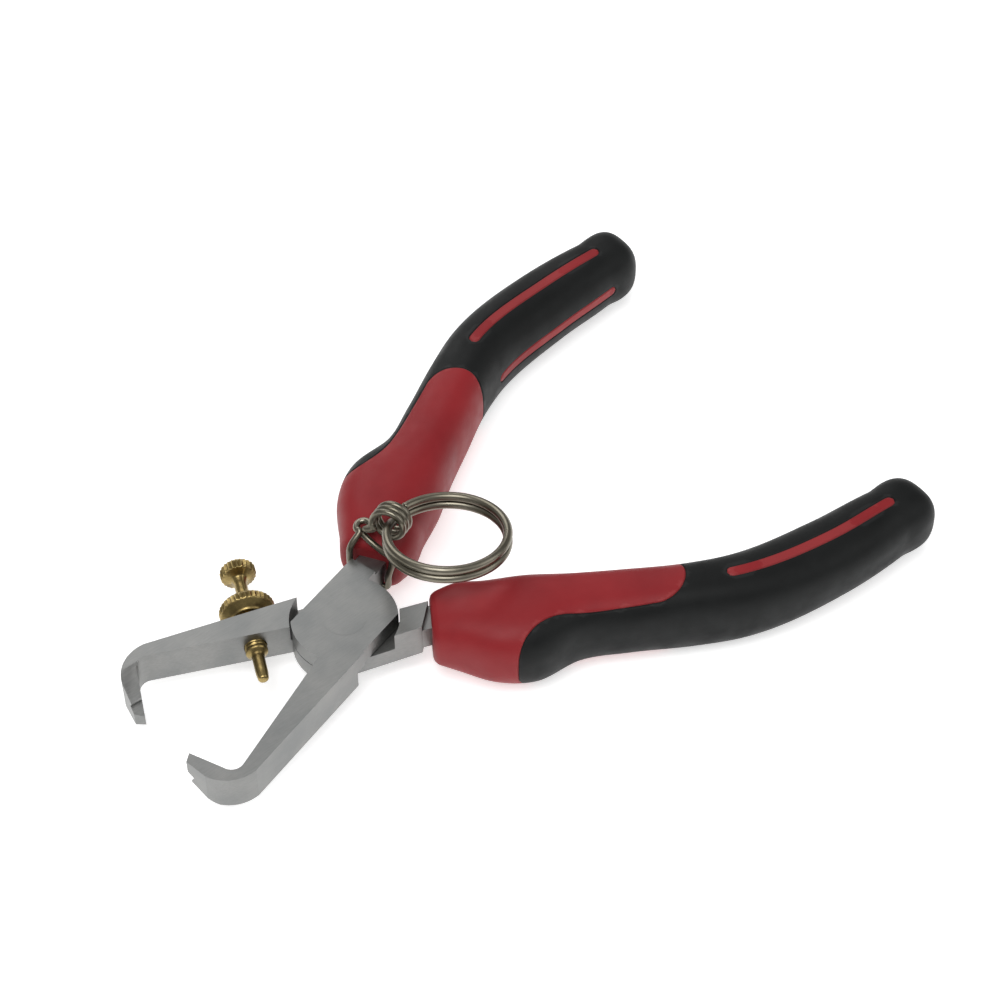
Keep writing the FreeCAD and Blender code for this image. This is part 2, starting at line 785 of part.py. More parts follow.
def nearest_rim(centre, normal, target):
    """Point of a ring's centre line nearest to a target."""
    offset = target - centre
    flat = (offset - normal * offset.dot(normal)).normalize()
    return centre + flat * cell("eye_radius")


def build_split_ring():
    """Two-turn split ring hanging through the coil."""
    path = helix_wire(cell("split_radius"), cell("split_pitch"), cell("split_turns"))
    ring = doc.addObject("Part::Feature", "split_ring")
    ring.Shape = sweep_wire(path, cell("split_wire"))
    reach = cell("split_radius") + cell("split_rest")
    ring.Placement = tether_frame().multiply(FreeCAD.Placement(V(reach, 0, 0), FreeCAD.Rotation()))
    return ring


def build_all():
    """Make every piece and put it in its place."""
    lower_half = build_half("lower_half", LONG_NECK, with_screw=True, rivet_play="0")
    upper_half = build_half("upper_half", SHORT_NECK, with_screw=False,
                            rivet_play="size.rivet_play")
    envelope, red = build_grip_parts()
    moulding = join("Part::Common", "red_moulding", envelope, red)
    pieces = [lower_half, upper_half, build_rivet()]
    turned_over = [upper_half]
    for side in ("lower", "upper"):
        core = join("Part::Cut", side + "_grip_core", moulding, lower_half)
        cover = join("Part::Cut", side + "_grip_cover", envelope, red)
        pieces += [core, cover]
        if side == "upper":
            turned_over += [core, cover]
    for build in (build_stop_screw, build_thumb_head, build_lock_nut):
        piece = build()
        piece.Placement = screw_placement()
        pieces.append(piece)
    pieces += [build_neck_wire(), build_split_ring()]
    doc.recompute()
    for piece in turned_over:
        flip_to_upper(piece)
    doc.recompute()
    return pieces


def export(pieces):
    """Check every piece and write it to its own STEP file."""
    for item in doc.Objects:
        if "Invalid" in item.State or "Error" in item.State:
            raise RuntimeError("%s did not recompute" % item.Label)
    for piece in pieces:
        shape = piece.Shape
        if shape.isNull() or not shape.isValid() or shape.Volume <= 0:
            raise RuntimeError("%s has no valid solid" % piece.Label)
        shape.exportStep("parts/%s.step" % piece.Label)
        print(piece.Label, len(shape.Solids), round(shape.Volume, 1))


export(build_all())
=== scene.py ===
import math

import bmesh
import bpy
import numpy as np
from mathutils import Matrix, Vector


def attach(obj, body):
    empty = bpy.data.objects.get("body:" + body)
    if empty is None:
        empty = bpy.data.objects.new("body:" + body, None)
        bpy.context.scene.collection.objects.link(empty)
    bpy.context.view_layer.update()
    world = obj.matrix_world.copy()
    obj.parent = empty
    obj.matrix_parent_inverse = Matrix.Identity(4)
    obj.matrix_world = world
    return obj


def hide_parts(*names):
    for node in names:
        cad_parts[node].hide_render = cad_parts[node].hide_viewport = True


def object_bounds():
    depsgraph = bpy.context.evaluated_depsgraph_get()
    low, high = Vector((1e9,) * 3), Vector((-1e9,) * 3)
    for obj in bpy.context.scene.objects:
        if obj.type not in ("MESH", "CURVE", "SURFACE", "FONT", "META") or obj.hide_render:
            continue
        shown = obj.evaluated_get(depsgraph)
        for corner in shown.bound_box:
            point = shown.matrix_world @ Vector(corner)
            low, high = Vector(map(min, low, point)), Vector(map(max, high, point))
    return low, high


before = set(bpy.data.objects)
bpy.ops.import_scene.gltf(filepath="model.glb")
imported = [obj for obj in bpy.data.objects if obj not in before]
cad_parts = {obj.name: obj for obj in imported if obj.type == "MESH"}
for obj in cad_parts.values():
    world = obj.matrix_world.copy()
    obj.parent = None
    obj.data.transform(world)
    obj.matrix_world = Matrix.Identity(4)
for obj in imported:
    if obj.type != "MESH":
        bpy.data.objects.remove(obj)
CAD_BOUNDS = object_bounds()
MM = 0.001
STEEL_THICK = 7.8
MID_HEIGHT = 3.9
UPPER_SWING = Matrix.Rotation(math.radians(-0.9), 4, "Z")
UPPER_FLIP = (Matrix.Translation((0, 0, STEEL_THICK * MM)) @ UPPER_SWING
              @ Matrix.Rotation(math.pi, 4, "X"))


# ------------------------------------------------------------------ materials
class Nodes:
    """Short hand for building a material's node tree."""

    def __init__(self, name):
        self.material = bpy.data.materials.new(name)
        self.material.use_nodes = True
        self.tree = self.material.node_tree
        self.tree.nodes.clear()
        self.shader = self.add("ShaderNodeBsdfPrincipled")
        out = self.add("ShaderNodeOutputMaterial")
        self.link(self.shader.outputs["BSDF"], out.inputs["Surface"])

    def add(self, kind, **values):
        node = self.tree.nodes.new(kind)
        for key, value in values.items():
            if hasattr(node, key):
                setattr(node, key, value)
            else:
                node.inputs[key.replace("_", " ")].default_value = value
        return node

    def link(self, output, socket):
        self.tree.links.new(output, socket)

    def coords(self, scale=(1, 1, 1)):
        """Object coordinates in millimetres, stretched by scale."""
        source = self.add("ShaderNodeTexCoord")
        mapping = self.add("ShaderNodeMapping")
        mapping.inputs["Scale"].default_value = [s / MM for s in scale]
        self.link(source.outputs["Object"], mapping.inputs["Vector"])
        return mapping.outputs["Vector"]

    def noise(self, vector, scale, detail=3.0, roughness=0.55):
        node = self.add("ShaderNodeTexNoise", Scale=scale, Detail=detail, Roughness=roughness)
        self.link(vector, node.inputs["Vector"])
        return node.outputs["Fac"]

    def ramp(self, factor, low, high, low_at=0.3, high_at=0.7):
        node = self.add("ShaderNodeValToRGB")
        first, last = node.color_ramp.elements
        first.position, last.position = low_at, high_at
        first.color = (*low, 1) if hasattr(low, "__len__") else (low, low, low, 1)
        last.color = (*high, 1) if hasattr(high, "__len__") else (high, high, high, 1)
        self.link(factor, node.inputs["Fac"])
        return node.outputs["Color"]

    def maths(self, kind, a, b):
        node = self.add("ShaderNodeMath", operation=kind)
        for socket, value in zip(node.inputs, (a, b)):
            if isinstance(value, (int, float)):
                socket.default_value = value
            else:
                self.link(value, socket)
        return node.outputs[0]

    def mix(self, factor, a, b, kind="MIX"):
        node = self.add("ShaderNodeMix", data_type="RGBA", blend_type=kind)
        for socket, value in ((node.inputs[0], factor), (node.inputs[6], a), (node.inputs[7], b)):
            if isinstance(value, (int, float)):
                socket.default_value = value
            elif isinstance(value, tuple):
                socket.default_value = (*value, 1)
            else:
                self.link(value, socket)
        return node.outputs[2]

    def bump(self, height, strength, distance, normal=None):
        node = self.add("ShaderNodeBump", Strength=strength, Distance=distance * MM)
        self.link(height, node.inputs["Height"])
        if normal is not None:
            self.link(normal, node.inputs["Normal"])
        return node.outputs["Normal"]

    def edges(self, low, high):
        """Mask of convex edges from pointiness, used to lighten them: partly wear, partly painted
        highlight.
        """
        node = self.add("ShaderNodeNewGeometry")
        return self.ramp(node.outputs["Pointiness"], 0.0, 1.0, low, high)

    def finish(self, color=None, roughness=None, normal=None, **fixed):
        for key, value in fixed.items():
            self.shader.inputs[key.replace("_", " ")].default_value = value
        for name, output in (("Base Color", color), ("Roughness", roughness), ("Normal", normal)):
            if output is not None:
                self.link(output, self.shader.inputs[name])
        return self.material


def steel_material(name, tone, along):
    """Ground and satin-polished steel: fine streaks and cloudy patches."""
    nodes = Nodes(name)
    low = (tone * 0.86, tone * 0.88, tone * 0.87)
    high = (tone * 1.08, tone * 1.08, tone * 1.05)
    cloud = nodes.noise(nodes.coords(), 0.12, 4.0)
    base = nodes.ramp(cloud, low, high, 0.32, 0.68)
    grain = nodes.noise(nodes.coords(along), 1.4, 5.0, 0.7)
    streak = nodes.ramp(grain, 0.82, 1.1, 0.35, 0.65)
    base = nodes.mix(0.55, base, streak, "MULTIPLY")
    roughness = nodes.ramp(grain, 0.34, 0.46, 0.3, 0.7)
    normal = nodes.bump(grain, 0.12, 0.02)
    normal = nodes.bump(nodes.noise(nodes.coords(), 0.5, 2.0), 0.08, 0.08, normal)
    return nodes.finish(base, roughness, normal, Metallic=1.0)


def grip_material(name, dark, light, rough, dust_wear_and_sheen_tone, gloss):
    """Moulded soft plastic: spark-eroded grain, faint clouding, faint dust specks, and convex
    edges lightened as partly rubbed wear, partly painted highlight.
    """
    nodes = Nodes(name)
    cloud = nodes.noise(nodes.coords(), 0.07, 4.0, 0.6)
    base = nodes.ramp(cloud, dark, light, 0.3, 0.7)
    dust = nodes.noise(nodes.coords(), 1.1, 6.0, 0.7)
    speck = nodes.ramp(dust, 0.0, 1.0, 0.62, 0.8)
    # Faint dust specks toward the paler tone, the same colour that serves as the painted sheen.
    base = nodes.mix(nodes.maths("MULTIPLY", speck, 0.07), base, dust_wear_and_sheen_tone)
    # Convex edges pulled toward the paler tone: partly rubbed wear, partly painted highlight.
    edge_wear_and_highlight = nodes.maths("MULTIPLY", nodes.edges(0.52, 0.6), 0.25)
    base = nodes.mix(edge_wear_and_highlight, base, dust_wear_and_sheen_tone)
    roughness = nodes.ramp(nodes.noise(nodes.coords(), 0.25, 4.0), rough[0], rough[1])
    grain = nodes.add("ShaderNodeTexVoronoi", Scale=3.2)
    nodes.link(nodes.coords(), grain.inputs["Vector"])
    normal = nodes.bump(grain.outputs["Distance"], 0.16, 0.05)
    normal = nodes.bump(nodes.noise(nodes.coords(), 0.6, 2.0), 0.12, 0.1, normal)
    return nodes.finish(base, roughness, normal, Specular_IOR_Level=gloss)


def brass_material(name, tone, tarnish):
    """Turned brass: patchy tarnish, and edges lightened as partly rubbed wear, partly painted
    highlight.
    """
    nodes = Nodes(name)
    patch = nodes.noise(nodes.coords(), 0.45, 5.0, 0.65)
    base = nodes.ramp(patch, tarnish, tone, 0.35, 0.62)
    # Convex edges pulled toward a paler brass: partly rubbed wear, partly painted highlight.
    edge = nodes.edges(0.5, 0.56)
    rubbed_and_highlight_brass = tuple(min(1, c * 1.6) for c in tone)
    base = nodes.mix(nodes.maths("MULTIPLY", edge, 0.7), base, rubbed_and_highlight_brass)
    roughness = nodes.ramp(patch, 0.42, 0.24, 0.3, 0.7)
    normal = nodes.bump(nodes.noise(nodes.coords(), 2.5, 4.0), 0.1, 0.03)
    return nodes.finish(base, roughness, normal, Metallic=1.0)


def wire_material(name):
    """Nickel-plated spring wire with a warm, slightly uneven plating."""
    nodes = Nodes(name)
    patch = nodes.noise(nodes.coords(), 0.16, 2.0)
    base = nodes.ramp(patch, (0.17, 0.155, 0.118), (0.25, 0.23, 0.185), 0.32, 0.68)
    roughness = nodes.ramp(nodes.noise(nodes.coords(), 0.4, 2.0), 0.27, 0.35)
    normal = nodes.bump(nodes.noise(nodes.coords(), 0.7, 2.0), 0.03, 0.02)
    return nodes.finish(base, roughness, normal, Metallic=1.0)


STEEL = steel_material("satin_steel", 0.26, along=(0.25, 2.2, 2.2))
# The fourth colour of each grip is its paler tone for dust specks, rubbed wear and the painted
# edge highlight.
RED = grip_material("red_moulding", (0.235, 0.012, 0.016), (0.3, 0.019, 0.023), (0.42, 0.56),
                    (0.4, 0.07, 0.07), 0.25)
BLACK = grip_material("black_moulding", (0.006, 0.0066, 0.0066), (0.011, 0.012, 0.012),
                      (0.42, 0.58), (0.04, 0.042, 0.042), 0.17)
BRASS = brass_material("turned_brass", (0.38, 0.285, 0.115), (0.17, 0.12, 0.05))
WIRE = wire_material("plated_wire")


# ------------------------------------------------------------------- helpers
def add_piece(name, mesh, body, material, replaced):
    """Put a mesh in the scene as a piece that rides on a body."""
    piece = bpy.data.objects.new(name, mesh)
    bpy.context.scene.collection.objects.link(piece)
    mesh.materials.clear()
    mesh.materials.append(material)
    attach(piece, body)
    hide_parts(*replaced)


def smooth(mesh, angle):
    """Smooth shading that stays sharp over edges steeper than angle."""
    mesh.polygons.foreach_set("use_smooth", [True] * len(mesh.polygons))
    mesh.set_sharp_from_angle(angle=math.radians(angle))


def to_mesh(bm, name):
    mesh = bpy.data.meshes.new(name)
    bm.to_mesh(mesh)
    bm.free()
    return mesh


def hermite(knots, values, samples):
    """Smooth curve through values at knots (finite-difference tangents)."""
    knots = np.asarray(knots, float)
    values = np.asarray(values, float)
    slopes = np.gradient(values, knots)
    place = np.clip(np.searchsorted(knots, samples, "right") - 1, 0, len(knots) - 2)
    width = knots[place + 1] - knots[place]
    t = (samples - knots[place]) / width
    h00 = 2 * t**3 - 3 * t**2 + 1
    h10 = t**3 - 2 * t**2 + t
    h01 = -2 * t**3 + 3 * t**2
    h11 = t**3 - t**2
    return (h00 * values[place] + h10 * width * slopes[place]
            + h01 * values[place + 1] + h11 * width * slopes[place + 1])


def bridge(make_face, first, second):
    """Faces between two rings of equal count; either ring may be a single point."""
    count = max(len(first), len(second))
    for k in range(count):
        m = (k + 1) % count
        if len(first) == 1:
            make_face((first[0], second[m], second[k]))
        elif len(second) == 1:
            make_face((first[k], first[m], second[0]))
        else:
            make_face((first[k], first[m], second[m], second[k]))


# --------------------------------------------------------------------- grips
# x, y, heading, half width, half height of the lower grip, mm and degrees
STATIONS = np.array([
    (12.95, -9.9, -33.6, 6.1, 6.0),
    (16.7, -12.6, -33.4, 7.8, 7.4),
    (21.1, -17.3, -32.0, 9.3, 8.2),
    (27.5, -21.6, -31.0, 9.8, 8.6),
    (36.1, -25.0, -30.0, 7.3, 8.2),
    (44.5, -30.0, -30.0, 6.9, 7.95),
    (55.0, -36.5, -27.8, 6.6, 8.3),
    (62.4, -40.2, -21.0, 6.85, 8.2),
    (84.0, -44.7, -5.0, 7.15, 7.1),
    (97.8, -45.5, -1.0, 6.4, 7.0),
    (104.6, -45.8, 0.0, 5.6, 6.5),
    (107.5, -46.0, 0.0, 2.6, 4.1),
])
STATION_KNOTS = np.concatenate([[0], np.cumsum(np.hypot(*np.diff(STATIONS[:, :2], axis=0).T))])
AROUND = 112
SQUARENESS = 2.7
FRONT_ROUND = 1.3
FRONT_INSET = 0.16
NOSE_LENGTH = 8
BUTT_LENGTH = 6.0
BUTT_ROUND = 0.3
BUTT_POWER = 2.6
BUTT_STEPS = 28
BUTT_LEAN = 0.35


def grip_rings():
    """Rings from the front face's centre to the butt's centre: rows of station values."""
    body_end = STATION_KNOTS[-1] - BUTT_LENGTH
    places = np.concatenate([np.linspace(0, FRONT_ROUND, 8)[:-1],
                             np.linspace(FRONT_ROUND, NOSE_LENGTH, 16)[:-1],
                             np.linspace(NOSE_LENGTH, body_end, 160)])
    columns = [hermite(STATION_KNOTS, STATIONS[:, k], places) for k in range(5)]
    rows = []
    for place, row in zip(places, np.array(columns).T):
        x, y, heading, width, height = row
        left = max(0.0, 1 - place / FRONT_ROUND)
        share = 1 - FRONT_INSET * (1 - math.sqrt(1 - left * left))
        rows.append((x, y, heading, width * share, height * share, place))
    x, y, heading, width, height, place = rows[0]
    front = [(x, y, heading, width * share, height * share, place)
             for share in (0.0, 0.35, 0.7, 0.9)]
    x, y, heading, width, height, place = rows[-1]
    back = []
    for step in range(1, BUTT_STEPS + 1):
        reach = math.sin(math.pi / 2 * step / BUTT_STEPS)
        share = max(0.0, 1 - reach ** BUTT_POWER) ** (1 / BUTT_POWER)
        ahead = (BUTT_LENGTH + BUTT_ROUND) * reach
        back.append((x + ahead, y - BUTT_LEAN * ahead / BUTT_LENGTH, heading, width * share,
                     height * share, place + ahead))
    return front + rows + back


def section_points(width, height):
    angles = np.linspace(0, 2 * np.pi, AROUND, endpoint=False)
    c, s = np.cos(angles), np.sin(angles)
    power = 2 / SQUARENESS
    return width * np.sign(c) * np.abs(c) ** power, height * np.sign(s) * np.abs(s) ** power


def polygon_distance(points, corners):
    """Signed distance from points to a closed polygon, negative inside."""
    corners = np.asarray(corners, float)
    best = np.full(len(points), 1e9)
    inside = np.zeros(len(points), bool)
    for a, b in zip(corners, np.roll(corners, -1, axis=0)):
        edge = b - a
        rel = points - a
        t = np.clip((rel @ edge) / (edge @ edge), 0, 1)
        best = np.minimum(best, np.linalg.norm(rel - t[:, None] * edge, axis=1))
        crosses = (a[1] > points[:, 1]) != (b[1] > points[:, 1])
        with np.errstate(divide="ignore", invalid="ignore"):
            x_at = (b[0] - a[0]) * (points[:, 1] - a[1]) / (b[1] - a[1]) + a[0]
        inside ^= crosses & (points[:, 0] < x_at)
    return np.where(inside, -best, best)


def arc_points(start, end, radius, side, count=24):
    """Points of the minor arc from start to end, bulging to one side of the chord."""
    start, end = np.array(start, float), np.array(end, float)
    chord = end - start
    normal = np.array([-chord[1], chord[0]]) / np.linalg.norm(chord) * side
    reach = math.sqrt(radius**2 - chord @ chord / 4)
    centre = (start + end) / 2 - normal * reach
    first = math.atan2(*(start - centre)[::-1])
    last = math.atan2(*(end - centre)[::-1])
    turn = (last - first + math.pi) % (2 * math.pi) - math.pi
    return [centre + radius * np.array([math.cos(first + turn * k / count),
                                        math.sin(first + turn * k / count)])
            for k in range(1, count)]


LIP_FAR = (13.5, -35.0)
SADDLE_END = (31.2, -27.8)
TONGUE_FAR = (46.0, -36.0)
TONGUE_END = (56.3, -31.0)
SADDLE_BEND = 13.0
TONGUE_BEND = 6.6


def tongue_outline():
    """Plan outline of the red front of the lower grip."""
    points = [(2.0, -1.0), (2.0, -35.0), LIP_FAR]
    points += arc_points(LIP_FAR, SADDLE_END, SADDLE_BEND, 1)
    points += [SADDLE_END, TONGUE_FAR]
    points += arc_points(TONGUE_FAR, TONGUE_END, TONGUE_BEND, -1)
    points += [TONGUE_END, (55.5, -8.0)]
    return points


STRIPE_HALF = 1.1
STRIPE_OVERRUN = 1.5
STRIPE_FROM = STATION_KNOTS[7] - STRIPE_OVERRUN
STRIPE_TO = STATION_KNOTS[9] + STRIPE_OVERRUN
STRIPE_SIDE = 3.0
GROOVE_HALF = 0.24
GROOVE_DEPTH = 0.22
RIM_DEPTH = 0.8
SNAP = 0.03
GRIP_ANGLE = 38


def red_field(points, along, across, up):
    """Signed distance to the nearest red patch of a grip, negative inside."""
    field = polygon_distance(points[:, :2], tongue_outline())
    run = np.clip(along, STRIPE_FROM + STRIPE_HALF, STRIPE_TO - STRIPE_HALF)
    over = np.abs(along - run)
    ridge = np.hypot(over, across) - STRIPE_HALF
    flank = np.hypot(over, up) - STRIPE_HALF
    field = np.where(np.abs(up) > STRIPE_SIDE, np.minimum(field, ridge), field)
    return np.where(across > STRIPE_SIDE, np.minimum(field, flank), field)


def grip_bmesh():
    """Closed skin of the lower grip and its red field as a float layer."""
    bm = bmesh.new()
    layer = bm.verts.layers.float.new("red")
    rings = []
    data = []
    for x, y, heading, width, height, along in grip_rings():
        nx, ny = -math.sin(math.radians(heading)), math.cos(math.radians(heading))
        across, up = section_points(max(width, 0.0), max(height, 0.0))
        if width < 1e-6:
            rings.append([len(data)])
            data.append((x, y, MID_HEIGHT, along, 0.0, 0.0))
            continue
        ring = []
        for a, u in zip(across, up):
            ring.append(len(data))
            data.append((x + nx * a, y + ny * a, MID_HEIGHT + u, along, a, u))
        rings.append(ring)
    data = np.array(data)
    field = red_field(data[:, :3], data[:, 3], data[:, 4], data[:, 5])
    verts = []
    for row, value in zip(data, field):
        vert = bm.verts.new(row[:3])
        vert[layer] = value
        verts.append(vert)
    for first, second in zip(rings, rings[1:]):
        bridge(bm.faces.new, [verts[k] for k in first], [verts[k] for k in second])
    bm.normal_update()
    return bm, layer


def cut_level(bm, layer, level):
    """Add an edge loop along one value of the layer."""
    for vert in bm.verts:
        if abs(vert[layer] - level) < SNAP:
            vert[layer] = level
    for edge in list(bm.edges):
        a, b = edge.verts
        fa, fb = a[layer] - level, b[layer] - level
        if fa * fb < 0:
            _, fresh = bmesh.utils.edge_split(edge, a, fa / (fa - fb))
            fresh[layer] = level
    on_line = [v for v in bm.verts if abs(v[layer] - level) < 1e-6]
    bmesh.ops.connect_verts(bm, verts=on_line)


def close_rim(bm, depth):
    """Turn the open rim inward so that a shell shows no thin edge."""
    rim = [edge for edge in bm.edges if edge.is_boundary]
    inward = {vert: vert.normal.copy() for edge in rim for vert in edge.verts}
    twins = {vert: bm.verts.new(vert.co - normal * depth) for vert, normal in inward.items()}
    for edge in rim:
        a, b = edge.verts
        face = edge.link_faces[0]
        order = [loop.vert for loop in face.loops]
        if order[(order.index(a) + 1) % len(order)] is b:
            a, b = b, a
        bm.faces.new((a, b, twins[b], twins[a]))


def build_grips():
    """Red and black skins of both grips, with a shallow groove between the colours."""
    bm, layer = grip_bmesh()
    for level in (0.0, -GROOVE_HALF, GROOVE_HALF):
        cut_level(bm, layer, level)
    bm.normal_update()
    moves = {}
    for vert in bm.verts:
        depth = 1 - abs(vert[layer]) / GROOVE_HALF
        if depth > 0:
            moves[vert] = vert.normal * (-GROOVE_DEPTH * depth)
    for vert, move in moves.items():
        vert.co += move
    bmesh.ops.recalc_face_normals(bm, faces=bm.faces[:])
    for want_red, part, slot, material in ((True, "core", "red_plastic", RED),
                                           (False, "cover", "black_rubber", BLACK)):
        half = bm.copy()
        field = half.verts.layers.float["red"]
        drop = [f for f in half.faces
                if (sum(v[field] for v in f.verts) / len(f.verts) < 0) != want_red]
        bmesh.ops.delete(half, geom=drop, context="FACES")
        half.normal_update()
        close_rim(half, RIM_DEPTH)
        bmesh.ops.scale(half, vec=(MM, MM, MM), verts=half.verts)
        mesh = to_mesh(half, "grip_" + part)
        smooth(mesh, GRIP_ANGLE)
        for side, flip in (("lower", None), ("upper", UPPER_FLIP)):
            copy = mesh.copy()
            if flip is not None:
                copy.transform(flip)
            node = "%s_grip_%s" % (side, part)
            add_piece(node + "_skin", copy, side + "_side", material, [node])
    bm.free()


build_grips()


# -------------------------------------------------------------- steel halves
RIVET_REACH = 4.8
EDGE_ROUND = 0.35
SHARP_ANGLE = 26


def bevelled_copy(node):
    """Copy of a CAD node with flat faces merged and its edges rounded away from the rivet."""
    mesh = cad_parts[node].data.copy()
    bm = bmesh.new()
    bm.from_mesh(mesh)
    bmesh.ops.remove_doubles(bm, verts=bm.verts, dist=1e-6)
    bmesh.ops.dissolve_limit(bm, angle_limit=math.radians(0.8), verts=bm.verts, edges=bm.edges)
    weights = bm.edges.layers.float.new("bevel_weight_edge")
    for edge in bm.edges:
        near = (edge.verts[0].co + edge.verts[1].co).xy.length / 2 < RIVET_REACH * MM
        if len(edge.link_faces) == 2 and not near:
            edge[weights] = float(edge.calc_face_angle() > math.radians(SHARP_ANGLE))
    bm.to_mesh(mesh)
    bm.free()
    smooth(mesh, SHARP_ANGLE)
    holder = bpy.data.objects.new("work", mesh)
    bpy.context.scene.collection.objects.link(holder)
    bevel = holder.modifiers.new("bevel", "BEVEL")
    bevel.width = EDGE_ROUND * MM
    bevel.segments = 3
    bevel.limit_method = "WEIGHT"
    bevel.use_clamp_overlap = True
    bevel.harden_normals = True
    tidy = holder.modifiers.new("tidy", "WEIGHTED_NORMAL")
    tidy.keep_sharp = True
    tidy.weight = 100
    bpy.context.view_layer.update()
    graph = bpy.context.evaluated_depsgraph_get()
    result = bpy.data.meshes.new_from_object(holder.evaluated_get(graph))
    bpy.data.objects.remove(holder)
    return result


def build_steel():
    """Both forgings with rounded edges, and the flush rivet in the same steel."""
    for side in ("lower", "upper"):
        node = side + "_half"
        mesh = bevelled_copy(node)
        add_piece(node + "_forging", mesh, side + "_side", STEEL, [node])
    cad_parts["pivot_rivet"].data.materials.clear()
    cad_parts["pivot_rivet"].data.materials.append(STEEL)


build_steel()


# -------------------------------------------------------------- brass pieces
SCREW_FACE = Vector((-15.54, 7.47, MID_HEIGHT))
SCREW_SLANT = math.radians(24.7)


def screw_matrix():
    """Frame of the screw in metres: +Z out of the arm, origin on its inner face."""
    out = Vector((math.sin(SCREW_SLANT), math.cos(SCREW_SLANT), 0))
    up = Vector((0, 0, 1))
    turn = Matrix((up.cross(out), up, out)).transposed().to_4x4()
    return Matrix.Translation(SCREW_FACE * MM) @ turn


def lathe(name, profile, steps, relief):
    """Turned piece from (radius, height) in mm, with relief added to the radius."""
    bm = bmesh.new()
    rings = []
    for radius, height in profile:
        if radius < 1e-6:
            rings.append([bm.verts.new((0, 0, height))])
            continue
        ring = []
        for k in range(steps):
            angle = 2 * math.pi * k / steps
            reach = radius + relief(angle, radius, height)
            ring.append(bm.verts.new((reach * math.cos(angle), reach * math.sin(angle), height)))
        rings.append(ring)
    for first, second in zip(rings, rings[1:]):
        bridge(bm.faces.new, first, second)
    bmesh.ops.recalc_face_normals(bm, faces=bm.faces[:])
    bmesh.ops.scale(bm, vec=(MM, MM, MM), verts=bm.verts)
    return to_mesh(bm, name)


def rounded(profile, radius, steps=4):
    """Profile with every inner corner rounded by a small arc."""
    points = [Vector(p) for p in profile]
    out = [points[0]]
    for before, here, after in zip(points, points[1:], points[2:]):
        a, b = before - here, after - here
        reach = min(radius, a.length * 0.45, b.length * 0.45)
        start, end = here + a.normalized() * reach, here + b.normalized() * reach
        for k in range(steps + 1):
            t = k / steps
            out.append((1 - t) ** 2 * start + 2 * t * (1 - t) * here + t**2 * end)
    out.append(points[-1])
    return out


def refine(profile, longest):
    """Profile with its long runs divided."""
    out = [Vector(profile[0])]
    for point in profile[1:]:
        start, end = out[-1], Vector(point)
        count = max(1, math.ceil((end - start).length / longest))
        out += [start.lerp(end, (k + 1) / count) for k in range(count)]
    return out


BRASS_ANGLE = 45
KNURL_FADE = 0.35
THREAD_CORE = 2.0
THREAD_PITCH = 0.7
THREAD_DEPTH = 0.2


def knurl(count, depth, low, high, rim):
    """Straight knurl between two heights on the rim of a disc."""
    def relief(angle, radius, height):
        if radius < rim:
            return 0.0
        fade = min(1.0, max(0.0, (height - low) / KNURL_FADE),
                   max(0.0, (high - height) / KNURL_FADE))
        wave = abs((angle * count / (2 * math.pi)) % 1 - 0.5) * 2
        return -depth * fade * (1 - wave)
    return relief


def thread(low, high):
    """Helical ridges between two heights on the shank."""
    def relief(angle, radius, height):
        if radius < THREAD_CORE or not low < height < high:
            return 0.0
        wave = (height / THREAD_PITCH - angle / (2 * math.pi)) % 1
        return -THREAD_DEPTH * (1 - abs(wave - 0.5) * 2)
    return relief


# Profiles are (radius, height above the arm's inner face).
SCREW_PROFILE = [(0, -8.2), (1.0, -8.1), (1.2, -6.4), (1.2, -2.3), (2.1, -1.6), (2.2, -1.2),
                 (2.2, 10.2), (0.8, 10.2), (0.8, 16.9), (0, 16.9)]
NUT_PROFILE = [(2.25, 6.5), (3.5, 6.5), (3.7, 6.9), (5.1, 7.9), (5.4, 8.2), (5.4, 9.5),
               (5.0, 9.9), (4.4, 9.9), (3.9, 9.75), (2.25, 9.75), (2.25, 6.5)]
HEAD_PROFILE = [(0.86, 10.5), (2.0, 10.5), (2.0, 10.9), (1.5, 12.2), (1.25, 13.6),
                (1.25, 15.6), (1.6, 16.7), (2.9, 17.3), (3.4, 17.5), (3.5, 17.9),
                (3.5, 19.2), (3.2, 19.6), (2.6, 19.8), (1.2, 19.7), (0, 19.7)]


def build_brass():
    """Screw, nut and thumb head: node, body, profile, rounding, step, sides and relief."""
    place = screw_matrix()
    for node, body, profile, soft, longest, sides, relief in (
            ("stop_screw", "screw", SCREW_PROFILE, 0.5, 0.12, 72, thread(-1.2, 10.1)),
            ("lock_nut", "nut", NUT_PROFILE, 0.22, 0.3, 288, knurl(36, 0.3, 8.0, 9.9, 4.9)),
            ("thumb_head", "head", HEAD_PROFILE, 0.3, 0.3, 240,
             knurl(24, 0.32, 17.3, 19.9, 2.9))):
        mesh = lathe(node + "_turned", refine(rounded(profile, soft), longest), sides, relief)
        mesh.transform(place)
        smooth(mesh, BRASS_ANGLE)
        add_piece(node + "_turned", mesh, body, BRASS, [node])


build_brass()


# -------------------------------------------------------------------- tether
TUBE_SIDES = 20
WIRE_ANGLE = 50


